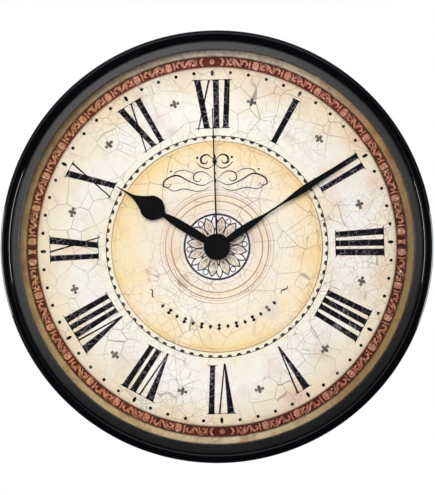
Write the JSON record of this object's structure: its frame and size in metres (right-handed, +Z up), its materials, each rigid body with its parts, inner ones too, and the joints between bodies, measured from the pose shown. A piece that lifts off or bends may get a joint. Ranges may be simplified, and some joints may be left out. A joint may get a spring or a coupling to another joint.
{
  "type": "wall clock",
  "caption": "Round battery wall clock with a printed dial, three hands, a geared quartz movement, a flat lens and a moulded bezel on a rear case with a keyhole hanger.",
  "frame": {"origin": "centre of the clock, on the hands' axis, halfway between the wall plane and the crest of the bezel", "axes": "-Y is the way the dial faces, +Y points into the wall, +Z is up to 12 o'clock, +X is to 3 o'clock"},
  "size_m": [0.305, 0.042, 0.305],
  "materials": {
    "bezel_gloss": "gloss",
    "lens_clear": "clear polished",
    "spacer_black": "satin",
    "dial_print": "antiqued print",
    "case_black": "fine texture",
    "screw_steel": "zinc plated",
    "hanger_steel": "stamped",
    "movement_black": "fine texture",
    "nut_brass": "turned",
    "washer_rubber": "matt",
    "hand_black": "black satin paint",
    "gear_plastic": "moulded acetal",
    "pipe_brass": "turned",
    "rotor_steel": "magnet",
    "stator_iron": "stamped soft iron",
    "coil_copper": "enamelled copper wire",
    "board_green": "solder mask",
    "crystal_can": "drawn can",
    "chip_resin": "resin blob",
    "cell_wrap": "printed wrap",
    "contact_metal": "nickel plated"
  },
  "bodies": {
    "case": {"front_bezel": "bezel_gloss", "lens": "lens_clear", "dial_spacer_ring": "spacer_black", "dial_plate": "dial_print", "rear_case": "case_black", "case_screw_1": "screw_steel", "case_screw_2": "screw_steel", "case_screw_3": "screw_steel", "case_screw_4": "screw_steel", "case_screw_5": "screw_steel", "case_screw_6": "screw_steel", "hanger_plate": "hanger_steel", "hanger_screw_left": "screw_steel", "hanger_screw_right": "screw_steel", "movement_front_plate": "movement_black", "movement_housing": "movement_black", "movement_nut": "nut_brass", "nut_washer": "nut_brass", "rubber_washer": "washer_rubber", "stator": "stator_iron", "coil_core": "stator_iron", "coil_bobbin": "gear_plastic", "coil_winding": "coil_copper", "circuit_board": "board_green", "quartz_crystal": "crystal_can", "driver_chip": "chip_resin", "battery_contact_positive": "contact_metal", "battery_contact_negative": "contact_metal"},
    "hour": {"hour_hand": "hand_black", "hour_wheel": "gear_plastic"},
    "minute": {"minute_hand": "hand_black", "cannon_pinion": "pipe_brass"},
    "second": {"second_hand": "hand_black", "seconds_wheel": "gear_plastic"},
    "motion": {"motion_wheel": "gear_plastic"},
    "setting": {"set_wheel": "gear_plastic"},
    "centre": {"centre_wheel": "gear_plastic"},
    "third": {"third_wheel": "gear_plastic"},
    "fifth": {"fifth_wheel": "gear_plastic"},
    "motor": {"rotor": "rotor_steel"},
    "battery": {"battery_cell": "cell_wrap"}
  },
  "joints": [
    {"name": "minute_turn", "type": "hinge", "parent": "case", "child": "minute", "pos_m": [0, -0.011, 0], "axis": [0, 1, 0], "continuous": true},
    {"name": "hour_turn", "type": "hinge", "parent": "case", "child": "hour", "pos_m": [0, -0.0093, 0], "axis": [0, 1, 0], "continuous": true},
    {"name": "motion_turn", "type": "hinge", "parent": "case", "child": "motion", "pos_m": [0.008, 0.001, 0], "axis": [0, 1, 0], "continuous": true},
    {"name": "set_turn", "type": "hinge", "parent": "case", "child": "setting", "pos_m": [0.016, 0.015, 0], "axis": [0, 1, 0], "continuous": true},
    {"name": "second_turn", "type": "hinge", "parent": "case", "child": "second", "pos_m": [0, -0.0127, 0], "axis": [0, 1, 0], "continuous": true},
    {"name": "third_turn", "type": "hinge", "parent": "case", "child": "third", "pos_m": [-0.0085, 0.0043, 0], "axis": [0, 1, 0], "continuous": true},
    {"name": "centre_turn", "type": "hinge", "parent": "case", "child": "centre", "pos_m": [0, 0.0029, 0], "axis": [0, 1, 0], "continuous": true},
    {"name": "fifth_turn", "type": "hinge", "parent": "case", "child": "fifth", "pos_m": [0.00225, 0.0071, 0.00838], "axis": [0, 1, 0], "continuous": true},
    {"name": "rotor_turn", "type": "hinge", "parent": "case", "child": "motor", "pos_m": [0.00649, 0.0095, 0.01263], "axis": [0, 1, 0], "continuous": true},
    {"name": "battery_slide", "type": "slide", "parent": "case", "child": "battery", "axis": [0, 1, 0], "range_m": [0, 0.03]}
  ],
  "couplings": [
    {"joint": "hour_turn", "follows": "minute_turn", "ratio": 0.083333},
    {"joint": "motion_turn", "follows": "minute_turn", "ratio": -0.33333},
    {"joint": "set_turn", "follows": "minute_turn", "ratio": 1},
    {"joint": "third_turn", "follows": "second_turn", "ratio": -0.13333},
    {"joint": "centre_turn", "follows": "second_turn", "ratio": 0.016667},
    {"joint": "fifth_turn", "follows": "second_turn", "ratio": -6},
    {"joint": "rotor_turn", "follows": "second_turn", "ratio": 30}
  ]
}
